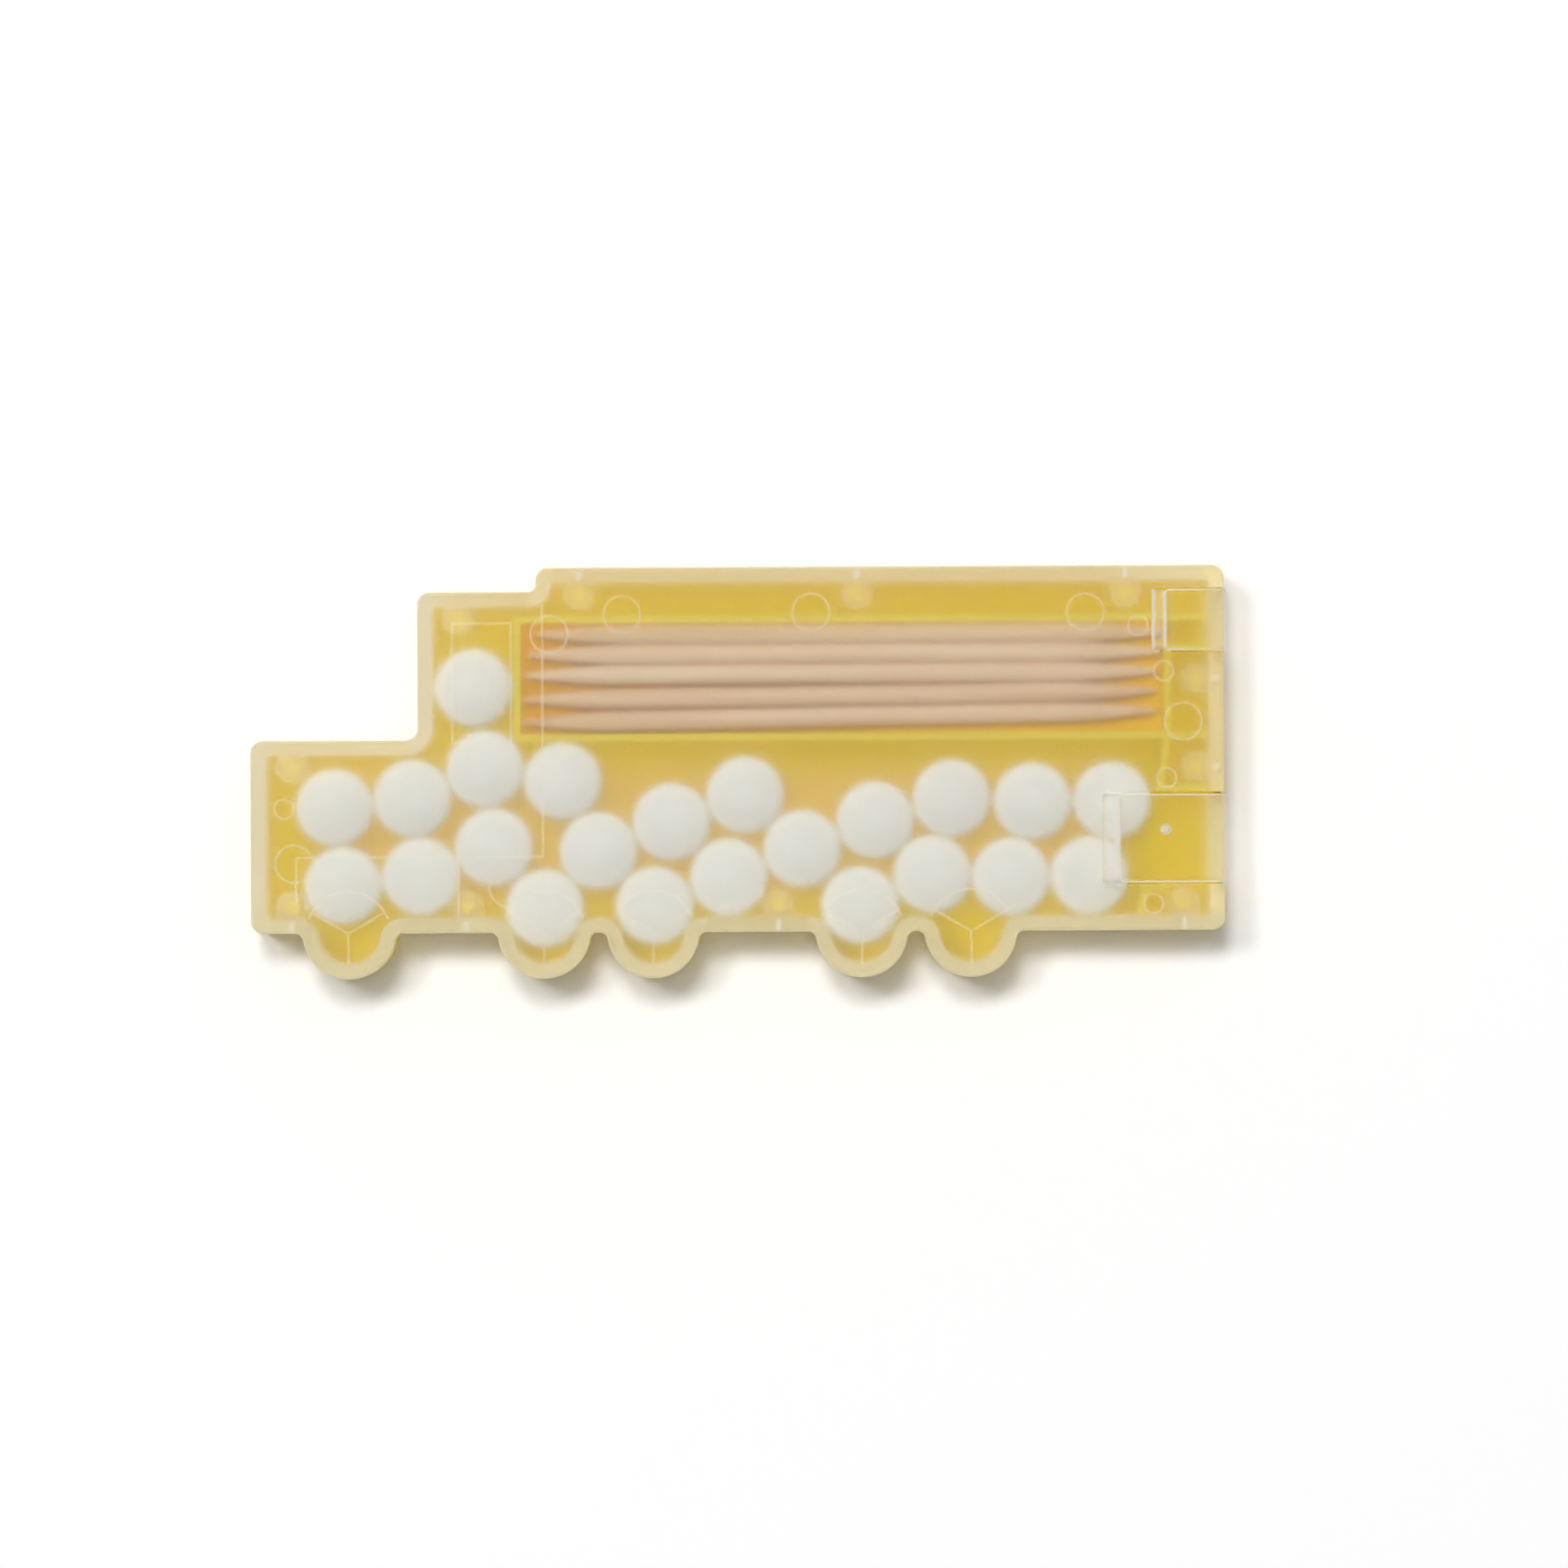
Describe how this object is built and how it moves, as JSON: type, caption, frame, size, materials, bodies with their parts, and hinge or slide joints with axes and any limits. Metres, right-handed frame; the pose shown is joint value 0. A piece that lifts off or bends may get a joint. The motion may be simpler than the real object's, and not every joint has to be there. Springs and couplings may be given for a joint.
{
  "type": "mint and toothpick dispenser",
  "caption": "Flat pocket case in the outline of a lorry, with a milky front over a yellow back. It holds mints and toothpicks and lets each out through its own hinged flap at the tail.",
  "frame": {"origin": "middle of the bounding box in X and Y, on the back face", "axes": "+X from the hood to the tail, +Y from the wheels to the roof, +Z out of the front face"},
  "size_m": [0.0994, 0.042, 0.0108],
  "materials": {
    "yellow_plastic": "satin, tinted, lets light through",
    "natural_plastic": "frosted, milky, lets light through",
    "mint": "smooth pressed sugar",
    "toothpick_wood": "raw wood"
  },
  "bodies": {
    "case": {"rear_shell": "yellow_plastic", "front_shell": "natural_plastic", "toothpick_flap_hinge": "natural_plastic", "mint_flap_hinge": "natural_plastic", "mint_01": "mint", "mint_02": "mint", "mint_03": "mint", "mint_04": "mint", "mint_05": "mint", "mint_06": "mint", "mint_07": "mint", "mint_08": "mint", "mint_09": "mint", "mint_10": "mint", "mint_11": "mint", "mint_12": "mint", "mint_13": "mint", "mint_14": "mint", "mint_15": "mint", "mint_16": "mint", "mint_17": "mint", "mint_18": "mint", "mint_19": "mint", "mint_20": "mint", "mint_21": "mint", "mint_22": "mint", "mint_23": "mint", "toothpick_1": "toothpick_wood", "toothpick_2": "toothpick_wood", "toothpick_3": "toothpick_wood", "toothpick_4": "toothpick_wood", "toothpick_5": "toothpick_wood"},
    "toothpick_flap": {"toothpick_flap": "natural_plastic"},
    "mint_flap": {"mint_flap": "natural_plastic"}
  },
  "joints": [
    {"name": "toothpick_flap_hinge", "type": "hinge", "parent": "case", "child": "toothpick_flap", "pos_m": [0.04312, 0.0154, 0.01063], "axis": [0, -1, 0], "range_deg": [0, 120], "deforming": ["toothpick_flap_hinge"]},
    {"name": "mint_flap_hinge", "type": "hinge", "parent": "case", "child": "mint_flap", "pos_m": [0.03823, -0.0069, 0.01063], "axis": [0, -1, 0], "range_deg": [0, 120], "deforming": ["mint_flap_hinge"]}
  ]
}
